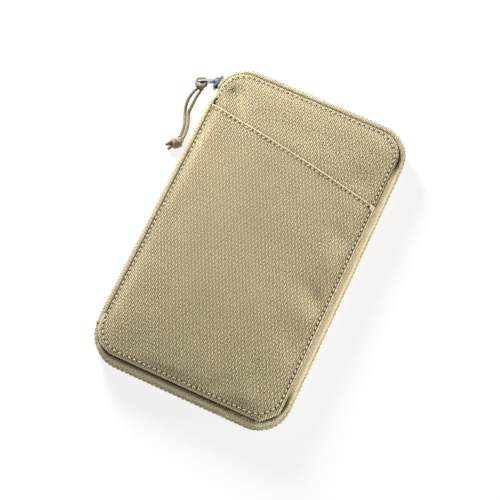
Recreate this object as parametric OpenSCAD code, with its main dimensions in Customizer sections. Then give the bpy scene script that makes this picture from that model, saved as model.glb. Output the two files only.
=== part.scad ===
/* [Wallet] */
// Width across the side bands
body_w = 132; // [128:1:150]
// Length from the bottom band to the top band
body_l = 217; // [205:1:235]
// Thickness from the rear panel to the front panel, without the slip pocket
body_t = 16.2; // [16.2:0.2:18]
// Corner radius on the widest line of the side bands
corner_r = 21; // [20:0.5:23]
// How far the side bands stand out past the panels
bulge = 5; // [4.5:0.5:5.5]
// How far the left edge of the panels lies inside the spine's outer face
spine_inset = 2; // [2:0.1:2.5]
// Corner radius of the panels
panel_r = 17; // [15:0.5:18]

/* [Fabric layers] */
// Thickness of the outer fabric panels
shell_t = 1; // [0.8:0.1:1]
// Thickness of the slip pocket's fabric
pocket_t = 0.8; // [0.6:0.1:1]
// Thickness of the foam boards in the covers
board_t = 1.3; // [1:0.1:1.3]
// Thickness of the linings and the inner pockets
lining_t = 0.5; // [0.4:0.05:0.5]
// Thickness of the side bands
band_t = 1.2; // [1:0.1:1.3]

/* [Slip pocket] */
// Distance from the panel's top edge to the pocket's mouth, at the spine
mouth_left = 29.5; // [24:0.5:40]
// Distance from the panel's top edge to the pocket's mouth, at the right
mouth_right = 51; // [40:1:60]
// Width of the folded hem along the mouth
hem_w = 3.2; // [2.5:0.1:5]
// Height of the hem over the pocket
hem_t = 0.4; // [0.3:0.1:0.6]

/* [Main zip] */
// Half the opening between the edges of the two side bands
zip_half = 2.5; // [2.3:0.1:2.7]
// Thickness of the zip tape
tape_t = 0.5; // [0.4:0.05:0.6]
// Thickness of the zip teeth, across the tape
teeth_t = 1.4; // [1.2:0.1:1.5]
// Length of the slider
slider_l = 10.6; // [10:0.2:11]
// Width of the slider
slider_w = 7.2; // [6.6:0.2:7.4]
// Where the slider is parked on the corner's arc, in degrees past the spine
slider_park = 12; // [12:1:14]
// How far the slider travels round the corner, in degrees
slider_travel = 45; // [30:1:46]

/* [Pull] */
// Length of the pull tab from its pin to its tip
tab_l = 13; // [12:0.5:16]
// Width of the pull tab
tab_w = 5.6; // [5.4:0.2:6]
// Thickness of the pull tab
tab_t = 1.2; // [1:0.1:1.3]
// Direction in which the parked tab points, in degrees
tab_dir = 208; // [200:1:215]
// Diameter of the pull cord
cord_d = 1.8; // [1.6:0.1:1.8]
// Radius of the knot at the cord's end
knot_r = 3.7; // [3.4:0.1:4]

/* [Inner pockets] */
// Number of credit card slots
card_slots = 4; // [4:1:4]
// Step from one card slot to the next
card_step = 22; // [18:1:24]
// Length of the coin pocket's zip
coin_zip_l = 88; // [80:1:90]

/* [Hidden] */

$fn = 64;
khaki = [0.72, 0.66, 0.48];
khaki_light = [0.78, 0.72, 0.55];
khaki_dark = [0.52, 0.47, 0.33];
lining_grey = [0.36, 0.37, 0.36];
board_white = [0.85, 0.85, 0.82];
steel = [0.45, 0.48, 0.53];
steel_light = [0.7, 0.72, 0.74];

gap = 0.35;                                  // clearance between parts that move apart
half_w = body_w / 2;
half_l = body_l / 2;
corner_x = half_w - corner_r;
corner_y = half_l - corner_r;
zip_z = body_t / 2;
top_z = body_t + pocket_t;

panel_x0 = -half_w + spine_inset;
panel_x1 = half_w - bulge;
panel_y = half_l - bulge;
mouth_slope = atan((mouth_right - mouth_left) / (panel_x1 - panel_x0));

// Side band: a quarter ellipse that rolls out from under the panel's lip to the zip
band_root = bulge + 0.6;
band_edge_z = zip_z - zip_half;
band_rise = band_edge_z - shell_t;
flange_w = 2.4;
fold_t = 1.75;
arc_steps = 8;
band_start = 11;

tape_in = fold_t + tape_t;
tape_low = band_edge_z - 1.5;
tape_high = zip_z - 0.4;
teeth_low = zip_z - 1.8;
teeth_high = zip_z - 0.15;

// Spine
spine_t = 1.1;
spine_z0 = 0.35;
spine_y0 = -corner_y + 0.4;
spine_y1 = corner_y - 3.5;

// Main slider: distances from the corner's centre
plate_t = 1.4;
outer_plate = corner_r + 1.6;
inner_plate = 16.1;
inner_plate_t = 1;
neck_w = 1.8;
neck_l = 3;
bridge_r = 3.1;
bridge_bore = 2;
bridge_w = 1.8;
pin_r = 0.7;
pin_at = outer_plate + plate_t + 1.3;
tab_rail = 1.3;
tab_window = 3.9;
tab_eye_at = 9;
hitch_back = 0.8;
hitch_side = 1.6;
hitch_r = 3.3;
tab_eye_r = 1.6;

// Rear inside: pockets lie on each other, from the lining up
inner_z = shell_t + board_t + lining_t;
pocket_x = 56;
document_z = inner_z;
passport_z = document_z + lining_t;
coin_z = passport_z + lining_t;
coin_depth = 1.3;
coin_top = coin_z + coin_depth;
coin_rim = 2;
coin_x = 50;
coin_y0 = -94;
coin_y1 = -14;
coin_zip_y = -20.5;
coin_window = 7;
coin_teeth_in = 1.2;
coin_tape_w = 5.2;
coin_tape_t = 0.4;
coin_teeth_w = 1.2;
coin_teeth_t = 0.8;
coin_slider_x = coin_zip_l / 2 - 5;
coin_slider_l = 9;
coin_slider_w = 6.8;
coin_plate_t = 0.9;
coin_floor_plate_z = coin_z + 0.2;
coin_floor_plate_t = 0.7;
coin_top_plate_z = coin_top + coin_tape_t + coin_teeth_t + 0.4;
coin_bridge_z = coin_top_plate_z + coin_plate_t;

// Front inside: the pockets hang from the lining down towards the middle
note_z = body_t - inner_z - lining_t;
card_x = 48;
card_y0 = -92;
card_h = 54;

// Routes of the two strands of the cord, from the hitch on the tab down to the knot
left_route = [[-77.7, 85, 8.1], [-79, 82, 7.8], [-80.2, 78.8, 7], [-81, 75.6, 5.8], [-81.2, 72.5, 4.4],
    [-80.9, 69.8, 3], [-80.2, 67.2, 1.8], [-79.2, 64.6, 1], [-78, 61.8, 1], [-76.9, 58.6, 1],
    [-76.1, 55.2, 1], [-75.7, 51.8, 1], [-75.6, 48.6, 1.8]];
right_route = [[-75.8, 84.5, 8.1], [-76.4, 81.4, 7.8], [-77, 78.4, 7], [-77.4, 75.6, 5.8],
    [-77.7, 72.8, 4.4], [-77.9, 70.2, 3], [-78.1, 67.8, 1.8], [-77.3, 65.3, 1], [-76.1, 62.4, 1],
    [-75, 59.1, 1], [-74.2, 55.4, 1], [-73.8, 51.8, 1], [-73.8, 48.6, 1.8]];
knot_at = [-75.6, 45.2, 3.7];
tails_at = [-79.4, 43, 2.6];

function unit(v) = v / norm(v);

function route_tangent(p, i) = unit(p[min(i + 1, len(p) - 1)] - p[max(i - 1, 0)]);

function cord_ring(p, i, r, sides) =
    let (t = route_tangent(p, i), side = unit(cross(t, [0, 0, 1])), up = cross(side, t))
    [for (k = [0:sides - 1]) p[i] + r * (cos(360 * k / sides) * side + sin(360 * k / sides) * up)];

function quarter_ellipse(rx, rz, last, steps) =
    [for (k = [0:steps]) [corner_r - band_root + rx * sin(last * k / steps),
        band_edge_z - rz * cos(last * k / steps)]];

module swept_cord(route, d) {
    sides = 8;
    rings = len(route);
    points = [for (i = [0:rings - 1]) each cord_ring(route, i, d / 2, sides)];
    walls = [for (i = [0:rings - 2], k = [0:sides - 1])
        [i * sides + k, i * sides + (k + 1) % sides, (i + 1) * sides + (k + 1) % sides, (i + 1) * sides + k]];
    start = [for (k = [0:sides - 1]) sides - 1 - k];
    end = [for (k = [0:sides - 1]) (rings - 1) * sides + k];
    polyhedron(points, concat([start], walls, [end]), convexity = 6);
}

module rounded_outline(x0, y0, x1, y1, r) {
    translate([x0 + r, y0]) square([x1 - x0 - 2 * r, y1 - y0]);
    translate([x0, y0 + r]) square([x1 - x0, y1 - y0 - 2 * r]);
    for (x = [x0 + r, x1 - r], y = [y0 + r, y1 - r])
        translate([x, y]) circle(r);
}

module sheet(x0, y0, x1, y1, r, z, t) {
    translate([0, 0, z]) linear_extrude(t) rounded_outline(x0, y0, x1, y1, r);
}

module panel(z, t) {
    sheet(panel_x0, -panel_y, panel_x1, panel_y, panel_r, z, t);
}

// Carries a profile of distance from the corner's centre and height round the edge, except the spine side
module round_three_sides() {
    for (c = [[corner_x, corner_y, 0], [-corner_x, corner_y, 90], [-corner_x, -corner_y, 180],
        [corner_x, -corner_y, 270]])
        translate([c[0], c[1], 0]) rotate([0, 0, c[2]]) rotate_extrude(angle = 90) children();
    translate([corner_x, corner_y, 0]) rotate([90, 0, 0]) linear_extrude(2 * corner_y) children();
    for (a = [90, 270])
        rotate([0, 0, a]) translate([corner_y, corner_x, 0]) rotate([90, 0, 0])
            linear_extrude(2 * corner_x) children();
}

// A ring sector round the slider's corner, its angles counted from the spine towards the top edge
module corner_sector(from, to, r0, r1, z0, z1) {
    translate([-corner_x, corner_y, 0]) rotate([0, 0, 180 - to]) rotate_extrude(angle = to - from)
        translate([r0, z0]) square([r1 - r0, z1 - z0]);
}

module front_side() {
    translate([0, 0, body_t]) mirror([0, 0, 1]) children();
}

module band_half() {
    outer = quarter_ellipse(band_root, band_rise, 90, arc_steps);
    fold_angle = asin((band_root - fold_t) / (band_root - band_t));
    inner = quarter_ellipse(band_root - band_t, band_rise - band_t, fold_angle, arc_steps);
    flange_x = corner_r - band_root - flange_w;
    inner_back = [for (k = [arc_steps:-1:0]) inner[k]];
    difference() {
        round_three_sides()
            polygon(concat([[flange_x, shell_t]], outer, [[corner_r - fold_t, band_edge_z]], inner_back,
                [[flange_x, shell_t + band_t]]));
        corner_sector(-10, 84, corner_r - tape_in, corner_r + 2, band_edge_z - 1.4, zip_z);
    }
}

module tape_half() {
    difference() {
        round_three_sides()
            translate([corner_r - tape_in, tape_low]) square([tape_t, tape_high - tape_low]);
        corner_sector(-10, 60, corner_r - tape_in - 1, corner_r, zip_z - 1.3, zip_z + 1);
    }
}

module teeth_half() {
    difference() {
        round_three_sides()
            translate([corner_r - tape_in - teeth_t, teeth_low]) square([teeth_t, teeth_high - teeth_low]);
        corner_sector(-10, 60, corner_r - tape_in - teeth_t - 1, corner_r, zip_z - 1.3, zip_z + 1);
    }
}

// The spine end of the rear zip stops short, so that the slider's lower lips swing clear with the cover
module clear_of_slider() {
    corner_sector(-10, 42, corner_r - 6, corner_r + 2, tape_low - 1, zip_z + 1);
}

module rear_shell() {
    color(khaki) panel(0, shell_t);
}

module rear_board() {
    color(board_white)
        sheet(-half_w + 8.5, -half_l + 8.5, half_w - 8.5, half_l - 8.5, 12, shell_t, board_t);
}

module rear_lining() {
    color(lining_grey)
        sheet(-panel_x1, -panel_y, panel_x1, panel_y, panel_r, shell_t + board_t, lining_t);
}

// The band starts a little way round the corner, so that the tab and its hitch swing past its end
module rear_band() {
    color(khaki_light) difference() {
        band_half();
        corner_sector(-2, band_start, corner_r - band_root - flange_w - 1, corner_r + 1, 0, zip_z);
    }
}

module rear_zip_tape() {
    color(khaki_dark) difference() {
        tape_half();
        clear_of_slider();
    }
}

module rear_zip_teeth() {
    color(khaki_dark) difference() {
        teeth_half();
        clear_of_slider();
    }
}

module document_pocket() {
    color(lining_grey) sheet(-pocket_x, -98, pocket_x, 58, 8, document_z, lining_t);
}

module passport_pocket() {
    color(lining_grey) sheet(-pocket_x + 2, -96, pocket_x - 2, 26, 8, passport_z, lining_t);
}

module coin_pocket() {
    color(lining_grey) difference() {
        sheet(-coin_x, coin_y0, coin_x, coin_y1, 6, coin_z, coin_depth);
        sheet(-coin_x + coin_rim, coin_y0 + coin_rim, coin_x - coin_rim, coin_y1 - coin_rim, 4,
            coin_z - 0.1, coin_depth - lining_t + 0.1);
        translate([-coin_zip_l / 2, coin_zip_y - coin_window / 2, coin_z])
            cube([coin_zip_l, coin_window, coin_depth + 1]);
    }
}

module coin_zip_tapes() {
    color(khaki_dark) for (side = [-1, 1])
        translate([-coin_zip_l / 2 - 2, coin_zip_y + side * (coin_teeth_in + coin_tape_w / 2)
            - coin_tape_w / 2, coin_top])
            cube([coin_zip_l + 4, coin_tape_w, coin_tape_t]);
}

module coin_zip_teeth() {
    color(khaki_dark) for (side = [-1, 1])
        translate([-coin_zip_l / 2, coin_zip_y + side * (coin_teeth_in + coin_teeth_w / 2)
            - coin_teeth_w / 2, coin_top + coin_tape_t])
            cube([coin_zip_l, coin_teeth_w, coin_teeth_t]);
}

// Outline of a slider's plate: wide at the mouth, narrower at the tail
module slider_outline(l, w) {
    tail = 0.72 * w;
    polygon([[-l / 2, -w / 2 + 0.8], [-l / 2 + 0.8, -w / 2], [0, -w / 2], [l / 2 - 1.2, -tail / 2],
        [l / 2, -tail / 2 + 1.2], [l / 2, tail / 2 - 1.2], [l / 2 - 1.2, tail / 2], [0, w / 2],
        [-l / 2 + 0.8, w / 2], [-l / 2, w / 2 - 0.8]]);
}

// A slider's arch, standing on the plane y = 0 and as wide as w along z
module slider_bridge(r, bore, w) {
    difference() {
        linear_extrude(w, center = true) intersection() {
            circle(r);
            translate([-r, 0]) square([2 * r, r]);
        }
        translate([0, 0.5, 0]) cylinder(h = w + 1, r = bore, center = true);
        translate([-bore, -1, -w]) cube([2 * bore, 1.5, 2 * w]);
    }
}

module coin_zip_slider() {
    color(steel) translate([coin_slider_x, coin_zip_y, 0]) {
        translate([0, 0, coin_floor_plate_z]) linear_extrude(coin_floor_plate_t)
            slider_outline(coin_slider_l, coin_slider_w - 1);
        translate([0, 0, coin_top_plate_z]) linear_extrude(coin_plate_t)
            slider_outline(coin_slider_l, coin_slider_w);
        translate([-4, -0.8, coin_floor_plate_z]) cube([2.4, 1.6, coin_top_plate_z - coin_floor_plate_z]);
        translate([0, 0, coin_bridge_z]) rotate([90, 0, 0]) slider_bridge(1.9, 1.1, 1.6);
    }
}

module coin_zip_pull() {
    pull_l = 13;
    color(steel_light) translate([coin_slider_x, coin_zip_y, coin_bridge_z + 0.3]) difference() {
        translate([-pull_l, -2.5, 0]) cube([pull_l + 0.6, 5, 0.7]);
        translate([-3, -1.1, -1]) cube([2.6, 2.2, 3]);
        translate([-pull_l + 3, 0, -1]) cylinder(h = 3, r = 1.3);
    }
}

module spine_panel() {
    color(khaki_light) translate([-half_w, spine_y0, spine_z0])
        cube([spine_t, spine_y1 - spine_y0, top_z - 2 * spine_z0]);
}

module spine_lining() {
    color(lining_grey) translate([-half_w + spine_t, spine_y0 + 1, spine_z0 + 0.4])
        cube([lining_t, spine_y1 - spine_y0 - 2, top_z - 2 * spine_z0 - 0.8]);
}

module front_shell() {
    color(khaki) panel(body_t - shell_t, shell_t);
}

// Half plane below a line that runs d under the pocket's mouth, as a plate from z upwards
module below_mouth(d, z, t) {
    translate([panel_x0, panel_y - mouth_left, z]) rotate([0, 0, -mouth_slope])
        translate([-body_w, -2 * body_l - d, 0]) cube([3 * body_w, 2 * body_l, t]);
}

module slip_pocket() {
    color(khaki) {
        intersection() {
            panel(body_t, pocket_t - hem_t);
            below_mouth(0, body_t - 1, 3);
        }
        intersection() {
            panel(body_t + pocket_t - hem_t, hem_t);
            difference() {
                below_mouth(0, body_t - 1, 3);
                below_mouth(hem_w, body_t - 2, 5);
            }
        }
    }
}

module front_board() {
    color(board_white) front_side()
        sheet(-half_w + 8.5, -half_l + 8.5, half_w - 8.5, half_l - 8.5, 12, shell_t, board_t);
}

module front_lining() {
    color(lining_grey) front_side()
        sheet(-panel_x1, -panel_y, panel_x1, panel_y, panel_r, shell_t + board_t, lining_t);
}

module front_band() {
    color(khaki_light) front_side() band_half();
}

module front_zip_tape() {
    color(khaki_dark) front_side() tape_half();
}

module front_zip_teeth() {
    color(khaki_dark) front_side() teeth_half();
}

module note_pocket() {
    color(lining_grey) sheet(-pocket_x, -98, pocket_x, 48, 8, note_z, lining_t);
}

// Card slots overlap like tiles: the lowest slot lies nearest the middle of the wallet
module card_slot(i) {
    y0 = card_y0;
    y1 = card_y0 + card_h + (card_slots - i) * card_step;
    color(lining_grey) sheet(-card_x, y0, card_x, y1, 3, note_z - i * lining_t, lining_t);
}

module zip_slider() {
    color(steel) translate([-corner_x, corner_y, zip_z]) rotate([0, 0, 180 - slider_park]) {
        translate([outer_plate, 0, 0]) rotate([90, 0, 90]) mirror([1, 0, 0]) linear_extrude(plate_t)
            slider_outline(slider_l, slider_w);
        translate([inner_plate - inner_plate_t, 0, 0]) rotate([90, 0, 90]) mirror([1, 0, 0])
            linear_extrude(inner_plate_t) slider_outline(slider_l, slider_w - 0.8);
        translate([inner_plate - 0.1, slider_l / 2 - neck_l - 0.8, -neck_w / 2])
            cube([outer_plate - inner_plate + 0.2, neck_l, neck_w]);
        translate([outer_plate + plate_t, 0, 0]) rotate([0, 0, -90])
            slider_bridge(bridge_r, bridge_bore, bridge_w);
    }
}

// Centre of the tab's pin, on the parked slider
function pin_place() = [-corner_x + pin_at * cos(180 - slider_park),
    corner_y + pin_at * sin(180 - slider_park), zip_z];

module pull_tab() {
    color(steel_light) translate(pin_place()) rotate([0, 0, tab_dir]) {
        cylinder(h = tab_w, r = pin_r, center = true);
        for (side = [-1, 1])
            translate([0, -tab_t / 2, side > 0 ? tab_rail : -tab_w / 2])
                cube([tab_window, tab_t, tab_w / 2 - tab_rail]);
        rotate([90, 0, 0]) linear_extrude(tab_t, center = true) difference() {
            union() {
                translate([tab_window, -tab_w / 2]) square([tab_l - tab_w / 2 - tab_window, tab_w]);
                translate([tab_l - tab_w / 2, 0]) circle(tab_w / 2);
            }
            translate([tab_eye_at, 0]) circle(tab_eye_r);
        }
    }
}

module cord_hitch() {
    color(khaki_dark) translate(pin_place()) rotate([0, 0, tab_dir])
        translate([tab_eye_at - hitch_back, hitch_side, 0]) sphere(hitch_r);
}

module pull_cord_left() {
    color(khaki_dark) swept_cord(left_route, cord_d);
}

module pull_cord_right() {
    color(khaki_dark) swept_cord(right_route, cord_d);
}

module cord_knot() {
    way = tails_at - knot_at;
    color(khaki_dark) {
        translate(knot_at) sphere(knot_r);
        translate(knot_at) rotate([0, acos(way[2] / norm(way)), atan2(way[1], way[0])])
            cylinder(h = norm(way), r = cord_d);
    }
}

rear_shell();
rear_board();
rear_lining();
rear_band();
rear_zip_tape();
rear_zip_teeth();
document_pocket();
passport_pocket();
coin_pocket();
coin_zip_tapes();
coin_zip_teeth();
coin_zip_slider();
coin_zip_pull();
spine_panel();
spine_lining();
front_shell();
slip_pocket();
front_board();
front_lining();
front_band();
front_zip_tape();
front_zip_teeth();
note_pocket();
card_slot(1);  // card_slot_1
card_slot(2);  // card_slot_2
card_slot(3);  // card_slot_3
card_slot(4);  // card_slot_4
zip_slider();
pull_tab();
cord_hitch();
pull_cord_left();
pull_cord_right();
cord_knot();
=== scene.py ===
"""The zipped canvas travel wallet's looks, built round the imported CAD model.

Lengths are in millimetres, and piece() turns them into metres. The camera and the lights are in metres."""
import math

import bmesh
import bpy
import numpy as np
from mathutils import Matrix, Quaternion, Vector, kdtree, noise


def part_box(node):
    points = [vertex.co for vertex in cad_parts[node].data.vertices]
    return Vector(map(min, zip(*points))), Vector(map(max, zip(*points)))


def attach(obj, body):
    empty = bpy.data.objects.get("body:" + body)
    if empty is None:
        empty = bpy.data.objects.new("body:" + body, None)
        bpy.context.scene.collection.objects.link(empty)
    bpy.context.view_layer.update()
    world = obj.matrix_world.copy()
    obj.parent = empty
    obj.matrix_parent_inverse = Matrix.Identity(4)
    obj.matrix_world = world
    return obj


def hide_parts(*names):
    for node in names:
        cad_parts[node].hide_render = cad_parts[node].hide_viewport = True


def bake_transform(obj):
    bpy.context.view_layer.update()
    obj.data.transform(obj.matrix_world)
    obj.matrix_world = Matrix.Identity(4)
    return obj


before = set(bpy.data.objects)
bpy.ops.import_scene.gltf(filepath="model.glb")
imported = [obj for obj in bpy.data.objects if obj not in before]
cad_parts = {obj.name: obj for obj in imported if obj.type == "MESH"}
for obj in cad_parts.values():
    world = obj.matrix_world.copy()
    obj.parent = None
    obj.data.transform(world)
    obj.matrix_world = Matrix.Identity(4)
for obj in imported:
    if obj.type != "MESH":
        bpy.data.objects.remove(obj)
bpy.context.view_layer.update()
MM = 0.001


def cad(node):
    """A CAD node's lowest and highest corner in millimetres."""
    low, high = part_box(node)
    return np.array(low) / MM, np.array(high) / MM


# ---------------------------------------------------------------- sizes, from the frame
FRONT_LOW, FRONT_HIGH = cad("front_shell")
BAND_HIGH = cad("front_band")[1]
THICK = FRONT_HIGH[2]
ZIP_Z = THICK / 2
CENTRE_X = (FRONT_LOW[0] + FRONT_HIGH[0]) / 2
HALF_W = (FRONT_HIGH[0] - FRONT_LOW[0]) / 2
HALF_L = FRONT_HIGH[1]
PANEL_R = 17.0
CORNER_R = 21.0
CORNER_X = BAND_HIGH[0] - CORNER_R
CORNER_Y = BAND_HIGH[1] - CORNER_R
MOUTH_LEFT_Y = HALF_L - 29.5
MOUTH_RIGHT_Y = HALF_L - 51.0
CORD_R = 1.1
STITCH = 3.45
SEAM_INSET = 2.25
INNER_SEAM = 1.5

# ---------------------------------------------------------------- camera
MIDDLE = Vector((0.0, 0.0, 0.008))
AZIMUTH = math.radians(25.16)
ELEVATION = math.radians(72.1)
ROLL = math.radians(-0.25)
DISTANCE = 1.0
VIEW_WIDTH = 0.3188
OFF_CENTRE = (0.0018, 0.0034)


def make_camera():
    back = Vector((
        math.sin(AZIMUTH) * math.cos(ELEVATION),
        -math.cos(AZIMUTH) * math.cos(ELEVATION),
        math.sin(ELEVATION),
    ))
    right = Vector((math.cos(AZIMUTH), math.sin(AZIMUTH), 0.0))
    up = back.cross(right)
    data = bpy.data.cameras.new("camera")
    data.sensor_width = 36.0
    data.lens = 36.0 * DISTANCE / VIEW_WIDTH
    data.clip_end = 20.0
    camera = bpy.data.objects.new("camera", data)
    camera.location = MIDDLE - right * OFF_CENTRE[0] - up * OFF_CENTRE[1] + back * DISTANCE
    camera.rotation_euler = (Quaternion(back, ROLL) @ back.to_track_quat("Z", "Y")).to_euler()
    bpy.context.collection.objects.link(camera)
    bpy.context.scene.camera = camera


make_camera()


# ---------------------------------------------------------------- materials
class Nodes:
    """A material's node tree with short calls to add nodes to it."""

    def __init__(self, name):
        self.material = bpy.data.materials.new(name)
        self.material.use_nodes = True
        self.tree = self.material.node_tree
        self.shader = self.tree.nodes["Principled BSDF"]

    def add(self, kind, **values):
        node = self.tree.nodes.new(kind)
        for key, value in values.items():
            setattr(node, key, value)
        return node

    def put(self, value, socket):
        if isinstance(value, bpy.types.NodeSocket):
            self.tree.links.new(value, socket)
        else:
            socket.default_value = value

    def set(self, **values):
        """Fill the shader's own sockets, named with _ for a space."""
        for key, value in values.items():
            self.put(value, self.shader.inputs[key.replace("_", " ")])

    def cloth(self):
        return self.add("ShaderNodeUVMap", uv_map="cloth").outputs["UV"]

    def place(self):
        return self.add("ShaderNodeTexCoord").outputs["Object"]

    def share(self, name):
        """The piece's own value from 0 to 1 at each point."""
        return self.add("ShaderNodeAttribute", attribute_name=name).outputs["Fac"]

    def calc(self, operation, a, b=0.0):
        node = self.add("ShaderNodeMath", operation=operation)
        self.put(a, node.inputs[0])
        self.put(b, node.inputs[1])
        return node.outputs[0]

    def plus(self, a, b):
        return self.calc("ADD", a, b)

    def minus(self, a, b):
        return self.calc("SUBTRACT", a, b)

    def times(self, a, b):
        return self.calc("MULTIPLY", a, b)

    def power(self, a, b):
        return self.calc("POWER", a, b)

    def arches(self, value, scale=math.pi):
        """A row of round threads: 0 between them and 1 on their middles."""
        return self.calc("ABSOLUTE", self.calc("SINE", self.times(value, scale)))

    def noise(self, vector, scale, detail=2.0, roughness=0.5):
        node = self.add("ShaderNodeTexNoise")
        self.put(vector, node.inputs["Vector"])
        node.inputs["Scale"].default_value = scale
        node.inputs["Detail"].default_value = detail
        node.inputs["Roughness"].default_value = roughness
        return node.outputs["Fac"]

    def ramp(self, value, stops):
        node = self.add("ShaderNodeValToRGB")
        elements = node.color_ramp.elements
        while len(elements) < len(stops):
            elements.new(0.5)
        for element, (place, colour) in zip(elements, stops):
            element.position = place
            element.color = (*colour, 1.0)
        self.put(value, node.inputs["Fac"])
        return node.outputs["Color"]

    def mix(self, factor, a, b, blend="MIX"):
        node = self.add("ShaderNodeMix", data_type="RGBA", blend_type=blend)
        self.put(factor, node.inputs["Factor"])
        self.put(a, node.inputs["A"])
        self.put(b, node.inputs["B"])
        return node.outputs["Result"]

    def bump(self, height, strength, distance):
        node = self.add("ShaderNodeBump")
        node.inputs["Strength"].default_value = strength
        node.inputs["Distance"].default_value = distance
        self.put(height, node.inputs["Height"])
        self.set(Normal=node.outputs["Normal"])

    def split(self, vector):
        node = self.add("ShaderNodeSeparateXYZ")
        self.put(vector, node.inputs[0])
        return node.outputs


def grey(value):
    return (value, value, value)


def shade(colour, factor):
    return tuple(c * factor for c in colour)


# Noise scales of the cloth, in spots per metre: wandering threads, single fibres, thick places, worn areas.
WANDER_SCALE = 300.0
FUZZ_SCALE = 3600.0
SLUB_SCALE = 820.0
WEAR_SCALE = 22.0


def woven(name, colour, cell, strength, dark=0.18, light=1.62, rough=0.85, sheen=0.2, patch=0.12):
    """Plain weave on the piece's cloth coordinates: warp over weft in a checker of cells (width, length)."""
    n = Nodes(name)
    cloth = n.cloth()
    u_raw, v_raw, _ = n.split(cloth)
    wander = n.times(n.minus(n.noise(cloth, WANDER_SCALE, 2.0), 0.5), 0.45)
    u = n.plus(n.times(u_raw, 1.0 / (cell[0] * MM)), wander)
    v = n.plus(n.times(v_raw, 1.0 / (cell[1] * MM)), wander)
    over_u, over_v = n.arches(u), n.power(n.arches(v), 0.1)
    odd = n.calc("ABSOLUTE", n.calc("MODULO", n.plus(n.calc("FLOOR", u), n.calc("FLOOR", v)), 2.0))
    warp = n.times(n.power(over_u, 0.9), over_v)
    weft = n.times(n.times(over_v, n.power(over_u, 0.6)), 0.6)
    threads = n.plus(n.times(warp, odd), n.times(weft, n.minus(1.0, odd)))
    fuzz = n.noise(cloth, FUZZ_SCALE, 3.0, 0.7)
    slubs = n.noise(cloth, SLUB_SCALE, 2.0, 0.6)
    uneven = n.plus(n.times(fuzz, 0.5), n.times(slubs, 1.1))
    height = n.plus(n.times(threads, 1.1), n.minus(uneven, 0.78))
    # The height ramp paints shade into the low gaps between threads and a highlight on the thread tops,
    # lighter than the cloth's own colour.
    stops = [(0.05, dark), (0.3, (dark + 1) / 2), (0.62, 1.0), (0.98, light)]
    base = n.ramp(height, [(place, shade(colour, tone)) for place, tone in stops])
    wear = n.ramp(n.noise(cloth, WEAR_SCALE, 3.0, 0.55), [(0.3, grey(1.0 - patch)), (0.7, grey(1.0))])
    # Painted shade: the colour is multiplied down to a tenth where the piece's shade share is full.
    shadow = n.ramp(n.share("painted_shade"), [(0.0, grey(1.0)), (1.0, grey(0.1))])
    base = n.mix(1.0, n.mix(1.0, base, wear, "MULTIPLY"), shadow, "MULTIPLY")
    # Painted highlight: the colour lightens towards 1.75 times the cloth's colour where the piece's highlight
    # share is full.
    base = n.mix(n.share("highlight_and_wear"), base, (*shade(colour, 1.75), 1.0))
    n.set(Base_Color=base, Roughness=rough, Sheen_Weight=sheen, Sheen_Roughness=0.5, Specular_IOR_Level=0.25)
    n.bump(height, strength, 0.4 * cell[0] * MM)
    return n.material


def thread_like(name, colour, pitch, strength, dark=0.45):
    """Twisted or braided yarn: slanting strands round a tube, by its cloth coordinates along and round it."""
    n = Nodes(name)
    cloth = n.cloth()
    along, around, _ = n.split(cloth)
    scale = math.pi / (pitch * MM)
    left = n.arches(n.plus(along, around), scale)
    right = n.arches(n.minus(along, around), scale)
    strands = n.times(n.power(left, 0.6), n.power(right, 0.6))
    height = n.plus(strands, n.times(n.noise(cloth, 4000.0, 3.0, 0.7), 0.4))
    colours = [(0.15, shade(colour, dark)), (0.6, colour), (1.0, shade(colour, 1.3))]
    n.set(Base_Color=n.ramp(height, colours), Roughness=0.75, Sheen_Weight=0.2)
    n.bump(height, strength, 0.3 * pitch * MM)
    return n.material


def metal(name, colour, rough, worn):
    """Tumbled metal with fine scratches, and edges and high spots worn lighter."""
    n = Nodes(name)
    place = n.place()
    scratches = n.noise(place, 2400.0, 4.0, 0.7)
    clouds = n.noise(place, 500.0, 2.0)
    edge = n.add("ShaderNodeNewGeometry").outputs["Pointiness"]
    highlight_and_wear = n.ramp(edge, [(0.5, grey(0.0)), (0.58, grey(1.0))])
    base = n.mix(clouds, (*shade(colour, 0.75), 1.0), (*colour, 1.0))
    roughness = n.plus(n.times(scratches, 0.25), rough - 0.1)
    n.set(Base_Color=n.mix(highlight_and_wear, base, (*worn, 1.0)), Metallic=1.0, Roughness=roughness)
    n.bump(scratches, 0.15, 0.05 * MM)
    return n.material


def foam(name, colour):
    n = Nodes(name)
    cells = n.add("ShaderNodeTexVoronoi")
    cells.inputs["Scale"].default_value = 1500.0
    n.put(n.place(), cells.inputs["Vector"])
    depth = cells.outputs["Distance"]
    n.set(Base_Color=n.ramp(depth, [(0.0, shade(colour, 0.7)), (0.5, colour)]), Roughness=0.7)
    n.bump(depth, 0.5, 0.2 * MM)
    return n.material


def nylon(name, colour):
    n = Nodes(name)
    place = n.place()
    clouds = n.ramp(n.noise(place, 900.0, 2.0), [(0.3, shade(colour, 0.7)), (0.7, colour)])
    n.set(Base_Color=clouds, Roughness=0.42)
    n.bump(n.noise(place, 3000.0, 2.0), 0.1, 0.05 * MM)
    return n.material


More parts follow.
